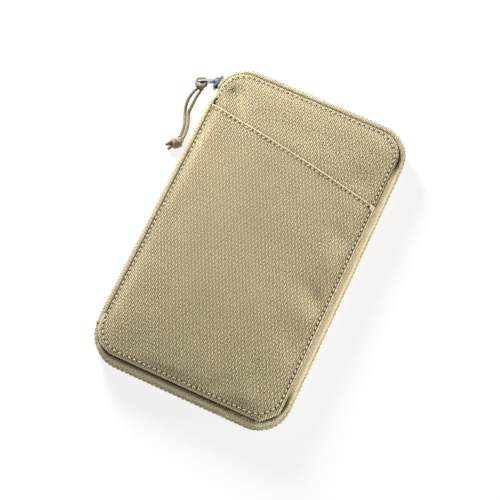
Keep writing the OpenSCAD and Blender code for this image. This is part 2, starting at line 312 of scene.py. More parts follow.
SAND = (0.43, 0.36, 0.205)
BAND_SAND = (0.47, 0.40, 0.245)
SLATE = (0.045, 0.048, 0.046)
MATERIALS = {
    "canvas": woven("canvas", SAND, (1.18, 2.33), 1.0),
    "band_canvas": woven("band_canvas", BAND_SAND, (1.05, 2.0), 1.0, dark=0.4, light=1.35, patch=0.1),
    "lining": woven("lining", SLATE, (0.5, 0.5), 0.5, dark=0.55, light=1.5, rough=0.9, sheen=0.05),
    "hem": woven("hem", shade(SLATE, 1.4), (0.42, 0.42), 0.5, dark=0.55, light=1.5, rough=0.65),
    "zip_tape": woven("zip_tape", (0.36, 0.31, 0.19), (0.5, 0.5), 0.6, dark=0.5),
    "zip_coil": nylon("zip_coil", (0.30, 0.26, 0.16)),
    "thread": thread_like("thread", (0.56, 0.49, 0.31), 0.3, 0.6, dark=0.7),
    "lining_thread": thread_like("lining_thread", (0.10, 0.10, 0.10), 0.3, 0.6),
    "cord": thread_like("cord", (0.27, 0.22, 0.125), 0.7, 0.9),
    "slider_metal": metal("slider_metal", (0.05, 0.06, 0.085), 0.3, (0.3, 0.33, 0.38)),
    "tab_metal": metal("tab_metal", (0.22, 0.25, 0.30), 0.32, (0.6, 0.62, 0.66)),
    "foam_board": foam("foam_board", (0.72, 0.72, 0.68)),
}


# ---------------------------------------------------------------- mesh helpers
def piece(name, data, material, body=None, *nodes, slot=None, painted_shade=0.0, highlight_and_wear=0.0):
    """A mesh object that rides on body and stands in for the CAD nodes.

    data is its points in millimetres, its faces and each point's cloth coordinates. The two shares, from 0 to
    1 at each point, are painted shade, which darkens grooves, needle holes and cloth under lips and on hidden
    faces, and a painted highlight, which lightens lit edges, folds and sides."""
    points, faces, cloth = data
    mesh = bpy.data.meshes.new(name)
    mesh.from_pydata((np.asarray(points, float) * MM).tolist(), [], [list(map(int, f)) for f in faces])
    layer = mesh.uv_layers.new(name="cloth")
    corner = np.zeros(len(mesh.loops), np.int32)
    mesh.loops.foreach_get("vertex_index", corner)
    layer.data.foreach_set("uv", (np.asarray(cloth, float)[corner] * MM).astype(np.float32).ravel())
    # The painted shade and painted highlight shares go onto the points, for the cloth materials to darken and
    # lighten their colour.
    for key, share in (("painted_shade", painted_shade), ("highlight_and_wear", highlight_and_wear)):
        values = np.broadcast_to(np.clip(np.asarray(share, float), 0, 1), len(mesh.vertices))
        mesh.attributes.new(key, "FLOAT", "POINT").data.foreach_set("value", values.astype(np.float32))
    mesh.polygons.foreach_set("use_smooth", [True] * len(mesh.polygons))
    mesh.materials.append(MATERIALS[material])
    mesh.update()
    made = bpy.data.objects.new(name, mesh)
    bpy.context.collection.objects.link(made)
    if body:
        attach(made, body)
    if nodes:
        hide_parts(*nodes)
    return made


def sweep_faces(count, n, turned=False):
    """Faces of a strip of count + 1 rings of n points, its ends closed. turned faces them the other way."""
    faces = []
    for i in range(count):
        for k in range(n):
            a, b = i * n + k, i * n + (k + 1) % n
            faces.append((a, a + n, b + n, b) if turned else (a, b, b + n, a + n))
    ends = [tuple(range(n - 1, -1, -1)), tuple(count * n + k for k in range(n))]
    return faces + (flipped(ends) if turned else ends)


def flipped(faces):
    return [tuple(reversed(f)) for f in faces]


def smooth_path(points, steps):
    """A Catmull-Rom curve through the points."""
    p = np.array(points, float)
    p = np.vstack([2 * p[0] - p[1], p, 2 * p[-1] - p[-2]])
    out = []
    for i in range(1, len(p) - 2):
        for k in range(steps):
            t = k / steps
            out.append(0.5 * (2 * p[i] + (p[i + 1] - p[i - 1]) * t
                              + (2 * p[i - 1] - 5 * p[i] + 4 * p[i + 1] - p[i + 2]) * t * t
                              + (3 * p[i] - 3 * p[i + 1] + p[i + 2] - p[i - 1]) * t ** 3))
    out.append(p[-2])
    return np.array(out)


def tube_data(path, radius, sides):
    """A round tube's mesh data along a path. radius may be a number or one per point."""
    path = np.asarray(path, float)
    radii = np.broadcast_to(radius, len(path))
    tangent = np.gradient(path, axis=0)
    tangent /= np.linalg.norm(tangent, axis=1)[:, None]
    normal = np.cross(tangent[0], [0.0, 0.0, 1.0])
    if np.linalg.norm(normal) < 0.1:
        normal = np.cross(tangent[0], [1.0, 0.0, 0.0])
    along = np.concatenate([[0], np.cumsum(np.linalg.norm(np.diff(path, axis=0), axis=1))])
    points, cloth = [], []
    for i, centre in enumerate(path):
        normal = normal - tangent[i] * np.dot(normal, tangent[i])
        normal /= np.linalg.norm(normal)
        other = np.cross(tangent[i], normal)
        for k in range(sides):
            a = 2 * math.pi * k / sides
            points.append(centre + radii[i] * (math.cos(a) * normal + math.sin(a) * other))
            cloth.append((along[i], radii[i] * a))
    return points, sweep_faces(len(path) - 1, sides), cloth


def join(parts):
    """One mesh's data from several."""
    points, faces, cloth = [], [], []
    for p, f, c in parts:
        start = len(points)
        points.extend(p)
        faces.extend(tuple(start + i for i in face) for face in f)
        cloth.extend(c)
    return points, faces, cloth


def smoothstep(x, low, high):
    t = np.clip((np.asarray(x, float) - low) / (high - low), 0, 1)
    return t * t * (3 - 2 * t)


def bell(x, y, cx, cy, rx, ry):
    return np.exp(-(((x - cx) / rx) ** 2 + ((y - cy) / ry) ** 2))


def value_noise(x, y, size, seed):
    """Smooth noise from -1 to 1 over the plane, one value per point."""
    places = zip(np.ravel(x), np.ravel(y))
    return np.array([noise.noise(Vector((a / size, b / size, seed))) for a, b in places])


def stitch_row(ends, top, thickness=0.34):
    """Stitches of thread between needle holes. ends are the holes on the cloth, and top lifts the middle."""
    parts = []
    for a, b in zip(ends[:-1], ends[1:]):
        a, b = np.array(a, float), np.array(b, float)
        up = np.array([0, 0, top])
        bends = ((0.15, -0.9), (0.24, 0.3), (0.5, 0.9), (0.76, 0.3), (0.85, -0.9))
        path = [a + (b - a) * t + up * lift for t, lift in bends]
        parts.append(tube_data(path, [0.2, thickness, thickness * 1.1, thickness, 0.2], 6))
    return join(parts)


# ---------------------------------------------------------------- panel meshes
PER_STITCH = 6


class Rounded:
    """A rounded rectangle, its insets having matching points, so that rings of them join into one surface."""

    def __init__(self, low, high, radius, side, end, corner):
        self.centre = ((low[0] + high[0]) / 2, (low[1] + high[1]) / 2)
        self.half_w = (high[0] - low[0]) / 2
        self.half_l = (high[1] - low[1]) / 2
        self.radius = radius
        self.counts = (side, end, corner)

    def outline(self, inset, thin=1, chamfer=0.0):
        """Points that far inside the edge, clockwise from the top's left end. chamfer flattens one corner."""
        side, end, corner = (count // thin for count in self.counts)
        r = self.radius * (1 - inset / min(self.half_w, self.half_l))
        a, b = self.half_w - inset - r, self.half_l - inset - r
        legs = [((-a, b + r), (a, b + r), end, (a, b), 90),
                ((a + r, b), (a + r, -b), side, (a, -b), 0),
                ((a, -b - r), (-a, -b - r), end, (-a, -b), -90),
                ((-a - r, -b), (-a - r, b), side, (-a, b), 180)]
        out = []
        for start, stop, count, middle, first in legs:
            for k in range(count):
                share = k / count
                out.append([start[0] + (stop[0] - start[0]) * share, start[1] + (stop[1] - start[1]) * share])
            for k in range(corner):
                turn = math.radians(first - 90 * k / corner)
                radius = r
                if first == 0:
                    square = 1 / max(math.cos(turn), -math.sin(turn))
                    straight = min(1.03 / math.cos(turn + math.pi / 4), square)
                    radius = r * (1 + (straight - 1) * chamfer)
                out.append([middle[0] + radius * math.cos(turn), middle[1] + radius * math.sin(turn)])
        return np.array(out) + self.centre

    def close_middle(self, first, thin):
        """Faces that fill the last ring, across its narrow middle."""
        side, end, corner = (count // thin for count in self.counts)
        right = end + corner
        left = 2 * end + 3 * corner + side
        total = 2 * (side + end) + 4 * corner
        faces = []
        for k in range(side):
            near, far = first + right + k, first + left + side - k
            faces.append((near, near + 1, far - 1, far))
        top = [first + (left + side + k) % total for k in range(right + corner + 1)]
        bottom = [first + right + side + k for k in range(end + 2 * corner + 1)]
        return faces + [tuple(top), tuple(bottom)]

    def inset_of(self, x, y):
        """How far inside the edge a point lies, below 0 outside it."""
        over_x = np.abs(x - self.centre[0]) - self.half_w + self.radius
        over_y = np.abs(y - self.centre[1]) - self.half_l + self.radius
        beyond = np.hypot(np.maximum(over_x, 0), np.maximum(over_y, 0))
        return self.radius - beyond - np.minimum(np.maximum(over_x, over_y), 0)


PANEL_WIDER = np.array([0.7, 0, 0])
PANEL_STITCHES = (50 * PER_STITCH, 26 * PER_STITCH, 7 * PER_STITCH)
PANEL = Rounded(FRONT_LOW, FRONT_HIGH + PANEL_WIDER, PANEL_R, *PANEL_STITCHES)
FINE = [0.35, 0.6, 0.9, 1.2, 1.5, 1.75, 2.0, 2.25, 2.5, 2.75, 3.05, 3.5, 4.1]
COARSE = [4.9, 6.0, 7.4, 9.0, 11.0, 13.0, 15.0, 17.2, 19.4, 21.6, 23.8, 26.0, 28.5, 31.0, 33.5, 36.0,
          38.5, 41.0, 43.5, 46.0, 48.5, 51.0, 53.5, 56.0, 58.5, 60.6, 61.9]


def ring_faces(rings):
    """Faces between rings of points. A ring may have a third of the points of its neighbour."""
    faces, starts, total = [], [], 0
    for points in rings:
        starts.append(total)
        total += len(points)
    for pa, pb, sa, sb in zip(rings[:-1], rings[1:], starts[:-1], starts[1:]):
        na, nb = len(pa), len(pb)
        if na >= nb:
            share = na // nb
            for k in range(nb):
                outer = [sa + (k * share + j) % na for j in range(share + 1)]
                faces.append((*outer, sb + (k + 1) % nb, sb + k))
        else:
            share = nb // na
            for k in range(na):
                inner = [sb + (k * share + j) % nb for j in range(share, -1, -1)]
                faces.append((sa + k, sa + (k + 1) % na, *inner))
    return faces, starts


def lip_roll(inset):
    """How far the rolled lip lies below the seam."""
    return 1.0 * (1 - smoothstep(inset, -0.3, 2.4)) ** 1.6


def lip_and_seam(inset, count):
    """The lip's roll, the groove of the top stitching and its needle holes, as heights of one ring."""
    groove = 0.2 * math.exp(-(((inset - SEAM_INSET) / 0.5) ** 2))
    hole = 0.6 * math.exp(-(((inset - SEAM_INSET) / 0.3) ** 2))
    at_hole = np.arange(count) % PER_STITCH == 0 if inset < COARSE[0] else np.zeros(count)
    roll = lip_roll(inset)
    return -(groove + roll + hole * at_hole)


# Dents and rises of the front: size, lean, and the middle and reach across and along.
DENTS = [(-1.1, 0, (-52, 87, 7, 6)), (-0.9, 0.7, (8.5, 79, 5, 9)), (-0.5, 0, (-8, 78, 30, 8)),
         (-0.8, 0, (46, 66, 12, 8)), (0.5, 0, (49, 91, 9, 6)), (0.5, 0, (-56, 38, 9, 30)),
         (-0.4, 0, (-52, -6, 9, 12)), (0.35, 0, (-52, -60, 10, 26))]
# Puckers at the right edge: middle along, size and reach. At the bottom edge: middle across and size.
RIGHT_PUCKERS = [(45, 0.35, 8), (24, -0.75, 7), (4, 0.6, 8), (-18, -0.95, 7), (-33, 0.5, 7), (-52, -0.45, 8)]
BOTTOM_PUCKERS = [(-38, -0.45), (-12, 0.3), (18, -0.4), (38, 0.3)]


def worn_height(x, y, inset):
    """How the foam and the handled canvas lift and dent the front between its seams."""
    across, along = (x - CENTRE_X) / HALF_W, y / HALF_L
    dome = (1 - np.abs(across) ** 2.1) * (1 - np.abs(along) ** 6)
    crown = 0.75 * smoothstep(inset, 2.6, 8.5) + 3.8 * np.maximum(dome, 0)
    dents = sum(size * bell(x + lean * y, y, *spot) for size, lean, spot in DENTS)
    for middle, size, reach in RIGHT_PUCKERS:
        dents = dents + size * bell(x, y + 0.35 * (x - 50), 52, middle, 14, reach)
    for middle, size in BOTTOM_PUCKERS:
        dents = dents + size * bell(x, y, middle, -94, 8, 9)
    ripple = 0.5 * value_noise(x, y, 30.0, 3.0) + 0.16 * value_noise(x, y, 11.0, 8.0)
    return crown + (1.9 * dents + ripple) * smoothstep(inset, 2.2, 8.0)


def rear_height(x, y, inset):
    """The rear panel lies flat on the table, and only draws in a little at its seams."""
    return (0.3 + 0.05 * value_noise(x, y, 20.0, 5.0)) * smoothstep(inset, 2.6, 9.0)


MOUTH_A = np.array([FRONT_LOW[0], MOUTH_LEFT_Y])
MOUTH_B = np.array([FRONT_HIGH[0], MOUTH_RIGHT_Y])
MOUTH_ALONG = (MOUTH_B - MOUTH_A) / np.linalg.norm(MOUTH_B - MOUTH_A)
MOUTH_DOWN = np.array([MOUTH_ALONG[1], -MOUTH_ALONG[0]])


def under_mouth(x, y):
    """How far a point lies below the slip pocket's mouth, measured square to it."""
    return (x - MOUTH_A[0]) * MOUTH_DOWN[0] + (y - MOUTH_A[1]) * MOUTH_DOWN[1]


def shell_height(x, y, inset):
    """The front panel dips behind the pocket's mouth and lies flat under the pocket."""
    below = under_mouth(x, y)
    dip = 0.45 * np.exp(-(np.minimum(below, 0) / 6.0) ** 2) * smoothstep(inset, 1.0, 5.0)
    return worn_height(x, y, inset) - dip - 0.1 * (below > 0)


def outer_rings(shape, base, lip_low, proud, height, chamfer):
    """Rings round a panel's lip and over its outer face, which is up here."""
    rings = []
    for inset, z in ((0.4, lip_low), (-proud, lip_low + 0.22), (-0.06 - proud, lip_low + 0.5)):
        edge = shape.outline(inset, 1, chamfer)
        rings.append(np.column_stack([edge, np.full(len(edge), z)]))
    for inset in [0.08 - proud] + FINE + COARSE:
        coarse = inset >= COARSE[0]
        cut = 0.0 if coarse else chamfer * (1 - smoothstep(inset, 1.0, 6.0))
        p = shape.outline(inset, 3 if coarse else 1, cut)
        z = base + lip_and_seam(inset, len(p)) + height(p[:, 0], p[:, 1], inset)
        rings.append(np.column_stack([p, z]))
    return rings


def reach_of(points, marks):
    """How far each point is from the nearest of the marks, seen from above."""
    tree = kdtree.KDTree(len(marks))
    for i, (x, y) in enumerate(marks):
        tree.insert((x, y, 0.0), i)
    tree.balance()
    return np.array([tree.find((x, y, 0.0))[2] for x, y in points[:, :2]])


def seam_painted_shade(points):
    """Painted shade in the needle holes and, fainter, along the seam's groove."""
    holes = reach_of(points, PANEL.outline(SEAM_INSET)[::PER_STITCH])
    groove = reach_of(points, PANEL.outline(SEAM_INSET))
    return np.maximum(np.exp(-((holes / 0.75) ** 2)), 0.35 * np.exp(-((groove / 0.5) ** 2)))


def lip_highlight(points, chamfer=0.0):
    """A painted highlight along the rolled lip's edge."""
    return 0.5 * np.exp(-((reach_of(points, PANEL.outline(0.1, 1, chamfer)) / 0.55) ** 2))


def panel_data(base, lip_low, height, chamfer=0.0, back=True, proud=0.0):
    """A panel: its lip and outer face, and a flat back if it is closed."""
    rings = []
    if back:
        for inset, thin in ((61.9, 3), (30.0, 3), (6.0, 3), (2.0, 1)):
            p = PANEL.outline(inset, thin)
            rings.append(np.column_stack([p, np.full(len(p), lip_low)]))
    rings += outer_rings(PANEL, base, lip_low, proud, height, chamfer)
    return closed_rings(rings, PANEL, 3, back)


def turned_over(data, about):
    """The same mesh facing down, mirrored at the height about / 2."""
    points, faces, cloth = data
    points = np.array(points, float)
    points[:, 2] = about - points[:, 2]
    return points, flipped(faces), cloth


def seam_holes(base, height):
    p = PANEL.outline(SEAM_INSET)[::PER_STITCH]
    p = np.vstack([p, p[:1]])
    return np.column_stack([p, base - 0.3 + height(p[:, 0], p[:, 1], SEAM_INSET)])


POCKET_BASE = cad("slip_pocket")[1][2]
CORNER_CUT = 0.85


def make_front():
    data = panel_data(FRONT_HIGH[2], FRONT_LOW[2], shell_height, CORNER_CUT)
    # Painted shade on the panel along the pocket's mouth, where the pocket's edge shades it.
    mouth_painted_shade = np.exp(-((under_mouth(data[0][:, 0], data[0][:, 1]) / 1.6) ** 2)) * 0.45
    shell = piece("front_panel", data, "canvas", "front_cover", "front_shell",
                  painted_shade=np.maximum(seam_painted_shade(data[0]), mouth_painted_shade), highlight_and_wear=lip_highlight(data[0], CORNER_CUT))
    data = panel_data(POCKET_BASE, FRONT_LOW[2] + 0.1, worn_height, CORNER_CUT, back=False, proud=0.25)
    pocket = piece("slip_pocket_panel", data, "canvas", None, "slip_pocket",
                   painted_shade=seam_painted_shade(data[0]), highlight_and_wear=lip_highlight(data[0], CORNER_CUT))
    on_cut = MOUTH_A + MOUTH_DOWN * 0.3
    cut = bmesh.new()
    cut.from_mesh(pocket.data)
    bmesh.ops.bisect_plane(cut, geom=cut.verts[:] + cut.edges[:] + cut.faces[:], dist=1e-6, clear_outer=True,
                           plane_co=(*(on_cut * MM), 0), plane_no=(*(-MOUTH_DOWN), 0))
    cut.to_mesh(pocket.data)
    cut.free()
    solid = pocket.modifiers.new("cloth thickness", "SOLIDIFY")
    solid.thickness = 0.45 * MM
    solid.offset = -1
    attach(pocket, "front_cover")
    make_mouth_hem()
    make_seam_thread()
    return shell, pocket


def on_pocket(x, y):
    """The height of the slip pocket's face at a point, with the lip's roll at the panel's edges."""
    inset = np.clip(PANEL.inset_of(x, y), 0.0, 60.0)
    return POCKET_BASE - lip_roll(inset) + worn_height(x, y, inset)


# Sections of the pocket's and the inner pockets' hems: the distance below the mouth, and the height.
HEM = [(3.1, -0.25), (2.8, 0.08), (2.5, 0.22), (2.1, -0.05), (1.75, 0.3), (1.35, 0.5), (0.9, 0.58),
       (0.45, 0.55), (0.1, 0.36), (-0.12, 0.0), (-0.12, -0.4), (0.2, -0.62), (0.9, -0.7), (1.8, -0.6),
       (2.9, -0.5)]
BINDING = [(4.6, -0.3), (4.3, 0.12), (3.6, 0.2), (3.0, 0.06), (2.4, 0.22), (1.4, 0.3), (0.6, 0.28),
           (0.05, 0.16), (-0.12, -0.05), (-0.1, -0.35), (0.4, -0.45), (2.4, -0.45), (4.4, -0.4)]
HEM_SEAM = 2.1
TACK_TURNS = 5


def hem_data(start, along, down, length, height_at, profile, seam, stitch=STITCH):
    """A folded hem: a strip along a line, its seam's groove pierced by needle holes.

    Returns the mesh data, the holes and each point's painted shade, darkest at the needle holes and on the
    hem's underside."""
    count = int(round(length / stitch)) * PER_STITCH
    points, cloth, holes, painted_shade = [], [], [], []
    for i in range(count + 1):
        base = np.array(start) + np.array(along) * length * i / count
        at_hole = i % PER_STITCH == 0
        step = (i + PER_STITCH // 2) % PER_STITCH - PER_STITCH // 2
        for v, dz in profile:
            x, y = base + np.array(down) * v
            pierced = 0.4 if at_hole and v == seam else 0.0
            points.append((x, y, float(height_at(x, y)) + dz - pierced))
            cloth.append((length * i / count, v))
            near = math.hypot(step * stitch / PER_STITCH, v - seam)
            # Painted shade: darkest at the needle holes, and an even shade on the hem's underside.
            painted_shade.append(math.exp(-((near / 0.85) ** 2)) if dz > -0.2 else 0.3)
        if at_hole:
            x, y = base + np.array(down) * seam
            holes.append((x, y, float(height_at(x, y)) - 0.1))
    return (points, sweep_faces(count, len(profile), turned=True), cloth), holes, painted_shade


def make_mouth_hem():
    length = float(np.linalg.norm(MOUTH_B - MOUTH_A)) - 0.5
    start = MOUTH_A + MOUTH_ALONG * 0.25
    data, holes, painted_shade = hem_data(start, MOUTH_ALONG, MOUTH_DOWN, length, on_pocket, HEM, HEM_SEAM)
    # A painted highlight along the top of the hem's folded edge.
    fold = [0.6 if -0.2 < v < 0.6 and dz > -0.1 else 0.0 for v, dz in HEM]
    highlight_and_wear = fold * (len(painted_shade) // len(HEM))
    piece("slip_pocket_hem", data, "canvas", "front_cover", painted_shade=painted_shade, highlight_and_wear=highlight_and_wear)
    piece("slip_pocket_hem_thread", stitch_row(holes[1:-1], 0.34), "thread", "front_cover")
    tack_at = MOUTH_B - MOUTH_ALONG * 1.1 + MOUTH_DOWN * 0.2
    turns = []
    for k in range(TACK_TURNS):
        middle = tack_at + MOUTH_DOWN * (k * 0.62)
        z = float(on_pocket(*middle)) + 0.25
        a, b = middle - MOUTH_ALONG * 0.9, middle + MOUTH_ALONG * 0.9
        path = [(*a, z - 0.3), (*a, z + 0.2), (*middle, z + 0.42), (*b, z + 0.2), (*b, z - 0.3)]
        turns.append(tube_data(path, 0.3, 6))
    piece("slip_pocket_tack", join(turns), "thread", "front_cover")


def make_seam_thread():
    """Top stitching round the front: on the pocket below its mouth, and on the panel above it."""
    pocket, shell = seam_holes(POCKET_BASE, worn_height), seam_holes(FRONT_HIGH[2], shell_height)
    rows = []
    for a, b, c, d in zip(pocket[:-1], pocket[1:], shell[:-1], shell[1:]):
        below = min(under_mouth(a[0], a[1]), under_mouth(b[0], b[1])) > 3.5
        above = max(under_mouth(c[0], c[1]), under_mouth(d[0], d[1])) < 0.2
        if below or above:
            rows.append(stitch_row([a, b] if below else [c, d], 0.3))
    piece("front_seam_thread", join(rows), "thread", "front_cover")


def make_rear():
    data = turned_over(panel_data(1.0, 0.0, rear_height), 1.0)
    shell = piece("rear_panel", data, "canvas", "rear_cover", "rear_shell",
                  painted_shade=seam_painted_shade(data[0]), highlight_and_wear=lip_highlight(data[0]))
    holes = seam_holes(1.0, rear_height)
    holes[:, 2] = 1.0 - holes[:, 2]
    piece("rear_seam_thread", stitch_row(holes, -0.3), "thread", "rear_cover")
    return shell


# ---------------------------------------------------------------- side bands and zip
BULGE = BAND_HIGH[0] - FRONT_HIGH[0]
ROOT = BULGE + 0.6
EDGE_Z = ZIP_Z - 2.5
RISE = EDGE_Z - 1.0
BAND_THICK = 1.1
TAPE_WIDE = 3.6
TAPE_THICK = 0.5
ARC = CORNER_R * math.pi / 2
SIDE_RUN = 2 * CORNER_Y
END_RUN = 2 * CORNER_X
RIGHT_FROM = 2 * ARC + END_RUN
RIGHT_TO = RIGHT_FROM + SIDE_RUN
BOTTOM_FROM = RIGHT_TO + ARC
LAST_CORNER = BOTTOM_FROM + END_RUN
BAND_RUN = LAST_CORNER + ARC


def on_edge(distance):
    """The point and outward direction that far round the widest line, from the spine's top end clockwise."""
    x, y, r = CORNER_X, CORNER_Y, CORNER_R
    legs = [(ARC, (-x, y), 180), (END_RUN, (-x, y + r), (1, 0), (0, 1)), (ARC, (x, y), 90),
            (SIDE_RUN, (x + r, y), (0, -1), (1, 0)), (ARC, (x, -y), 0),
            (END_RUN, (x, -y - r), (-1, 0), (0, -1)), (ARC, (-x, -y), -90)]
    for leg in legs:
        if distance <= leg[0] or leg is legs[-1]:
            break
        distance -= leg[0]
    if len(leg) == 4:
        _, start, way, out = leg
        return np.array([start[0] + way[0] * distance, start[1] + way[1] * distance]), np.array(out, float)
    _, middle, first = leg
    turn = math.radians(first - 90 * distance / ARC)
    out = np.array([math.cos(turn), math.sin(turn)])
    return np.array(middle) + r * out, out


def corner_share(distance):
    """1 in the middle of a corner, 0 on the straight edges."""
    share = 0.0
    for start in (0, ARC + END_RUN, RIGHT_TO, LAST_CORNER):
        share = max(share, 1 - abs(distance - start - ARC / 2) / (ARC / 2 + 4))
    return float(smoothstep(share, 0.0, 0.6))


def band_profile():
    """The rear band's section, from under the lip to its folded edge and back inside: offset and height."""
    edge = EDGE_Z

    def bulge(width, rise, angles):
        return [(-ROOT + width * math.sin(a), edge - rise * math.cos(a)) for a in np.radians(angles)]

    fold = [(0.05, edge - 0.15), (-0.05, edge + 0.22), (-0.4, edge + 0.42), (-0.9, edge + 0.44),
            (-1.35, edge + 0.3), (-1.6, edge - 0.1)]
    outer = [(-ROOT - 2.2, 1.05), (-ROOT - 1.0, 1.03)] + bulge(ROOT, RISE, np.linspace(0, 84, 13))
    inner = bulge(ROOT - BAND_THICK, RISE - BAND_THICK, np.linspace(52, 0, 6))
    return outer + fold + inner + [(-ROOT - 2.2, 1.05 + BAND_THICK)]


# Creases across the bands: the distance round, the width and the depth of each.
CREASES = [(BOTTOM_FROM + 12.0, 2.2, 0.75), (BOTTOM_FROM + 17.5, 2.6, -0.6),
           (RIGHT_TO + ARC * 0.55, 3.0, -0.5), (ARC + END_RUN + ARC * 0.5, 3.4, -0.5),
           (ARC * 0.6, 3.0, -0.35), (LAST_CORNER + ARC * 0.5, 3.0, -0.45)]


def band_data(front, seed):
    """One side band: its mesh data, and each point's painted shade and painted highlight."""
    profile = band_profile()
    steps = [math.hypot(c - a, d - b) for (a, b), (c, d) in zip(profile[:-1], profile[1:])]
    along = np.concatenate([[0.0], np.cumsum(steps)])
    count = int(BAND_RUN / 1.1)
    points, cloth, painted_shade, highlight_and_wear = [], [], [], []
    for i in range(count + 1):
        distance = BAND_RUN * i / count
        at, out = on_edge(distance)
        corner = corner_share(distance)
        from_right = smoothstep(distance, RIGHT_FROM, RIGHT_FROM + 14)
        to_right = smoothstep(-distance, -RIGHT_TO, 14 - RIGHT_TO)
        gap = 1 - float(from_right * to_right)
        crease = sum(depth * math.exp(-(((distance - at_crease) / width) ** 2))
                     for at_crease, width, depth in CREASES)
        for k, (offset, z) in enumerate(profile):
            outside = k < 15
            loose = math.sin(math.pi * min(max((k - 1) / 16.0, 0.0), 1.0)) if k <= 17 else 0.25
            pucker = noise.noise(Vector((distance / 5.0, k / 9.0, seed))) * (0.22 + 0.55 * corner)
            pucker += noise.noise(Vector((distance / 16.0, k / 14.0, seed + 5))) * 0.35
            push = loose * (pucker + crease)
            slope = min(max((offset + ROOT) / ROOT, 0.0), 1.0)
            x, y = at + out * (offset + push * slope)
            past_lip = -float(PANEL.inset_of(x, y))
            tucked = gap * (1 - float(smoothstep(past_lip, 0.2, 2.6))) if outside else 0.0
            z_at = z - push * (1 - slope) * 0.8 + 1.2 * tucked
            points.append((x, y, THICK - z_at if front else z_at))
            cloth.append((distance, along[k]))
            # Painted shade: a dark line on the outer face just past the panel's lip, except along the right
            # side, and an even light shade on the inner face.
            painted_shade.append(gap * (1 - float(smoothstep(past_lip, 0.5, 1.5))) if outside else 0.2)
            # Painted highlight: the outer face lightens along the right side, where the side lamp lights it.
            highlight_and_wear.append(0.42 * (1 - gap) if outside else 0.0)
    faces = sweep_faces(count, len(profile), turned=True)
    return (points, flipped(faces) if front else faces, cloth), painted_shade, highlight_and_wear


def edge_strip(z, start):
    """One half of the zip's tape, on edge round the wallet from start, its lower side at the height z."""
    count = int((BAND_RUN - start) / 1.6)
    heights = [0, 0, TAPE_WIDE / 3, TAPE_WIDE * 2 / 3, TAPE_WIDE, TAPE_WIDE, TAPE_WIDE * 2 / 3, TAPE_WIDE / 3]
    section = list(zip([0] + [TAPE_THICK] * 4 + [0] * 3, heights))
    points, cloth = [], []
    for i in range(count + 1):
        distance = start + (BAND_RUN - start) * i / count
        at, out = on_edge(distance)
        wave = 0.12 * noise.noise(Vector((distance / 7.0, 2.0, z * 0.1)))
        for dx, dz in section:
            x, y = at + out * (-2.25 + dx + wave)
            points.append((x, y, z + dz))
            cloth.append((distance, dz + dx))
    return points, sweep_faces(count, len(section), turned=True), cloth


COIL_PITCH = 1.35


def coil_data(side, start, spread):
    """One half of the coil zip round the wallet: a wire wound round a cord, its loops reaching the middle."""
    turns = int((BAND_RUN - start - 1.0) / COIL_PITCH)
    steps = 8
    path = []
    for i in range(turns * steps + 1):
        distance = start + COIL_PITCH * (i / steps + (0.5 if side > 0 else 0.0))
        at, out = on_edge(distance)
        turn = 2 * math.pi * i / steps
        z = ZIP_Z + side * (0.55 + spread(distance)) - side * 1.0 * math.cos(turn)
        x, y = at + out * (-2.85 + 0.5 * math.sin(turn))
        path.append((x, y, z))
    return tube_data(path, 0.3, 5)


def make_bands():
    for side, front, seed in (("rear", False, 11.0), ("front", True, 23.0)):
        body, name = f"{side}_cover", f"{side}_side_band"
        data, painted_shade, highlight_and_wear = band_data(front, seed)
        piece(name, data, "band_canvas", body, f"{side}_band", painted_shade=painted_shade, highlight_and_wear=highlight_and_wear)
        z = EDGE_Z - 1.15
        holes = []
        for i in range(int(BAND_RUN / 3.0) + 1):
            at, out = on_edge(3.0 * i)
            holes.append((*(at + out * 0.05), THICK - z if front else z))
        row = [edge_stitch(a, b) for a, b in zip(holes[:-1], holes[1:])]
        piece(name + "_thread", join(row), "thread", body, slot="band_canvas")
    past_slider = CORNER_R * math.radians(63)
    parting = lambda distance: 0.7 * (1 - float(smoothstep(distance, 24.0, 34.0)))
    for side, z, start in (("rear", EDGE_Z - 1.5, past_slider), ("front", ZIP_Z + 0.4, 0.0)):
        piece(f"{side}_zip_tape_strip", edge_strip(z, start), "zip_tape", f"{side}_cover", f"{side}_zip_tape")
    rear_coil = coil_data(-1, past_slider, lambda distance: 0.0)
    piece("rear_zip_coil", rear_coil, "zip_coil", "rear_cover", "rear_zip_teeth")
    piece("front_zip_coil", coil_data(1, 0.5, parting), "zip_coil", "front_cover", "front_zip_teeth")


def edge_stitch(a, b):
    """A stitch on the band's outer side, standing out from the wall between its two holes."""
    a, b = np.array(a, float), np.array(b, float)
    way = b - a
    out = np.cross(way / np.linalg.norm(way), [0, 0, 1.0])
    out = out * (1 if np.dot(out[:2], a[:2]) > 0 else -1)
    bends = ((0.08, -0.35), (0.2, 0.02), (0.5, 0.14), (0.8, 0.02), (0.92, -0.35))
    return tube_data([a + way * t + out * lift for t, lift in bends], [0.18, 0.28, 0.3, 0.28, 0.18], 6)


# ---------------------------------------------------------------- spine
MID_Z = cad("spine_panel")[1][2] / 2 + 0.2
SPINE_OUT = [(-62.9, 16.3), (-63.6, 16.62), (-64.3, 16.5), (-65.1, 16.05), (-65.8, 15.1), (-66.2, 13.6),
             (-66.35, 11.6), (-66.4, 9.8), (-66.4, MID_Z)]
SPINE_END = [(-62.2, 14.5), (-62.8, 14.42), (-63.5, 14.25), (-64.3, 13.85), (-65.0, 13.2), (-65.6, 12.3),
             (-66.0, 11.2), (-66.2, 9.8), (-66.25, MID_Z)]
SPINE_LINING = [(-61.0, 13.35), (-62.6, 13.2), (-63.8, 12.4), (-64.35, 11.0), (-64.45, MID_Z)]


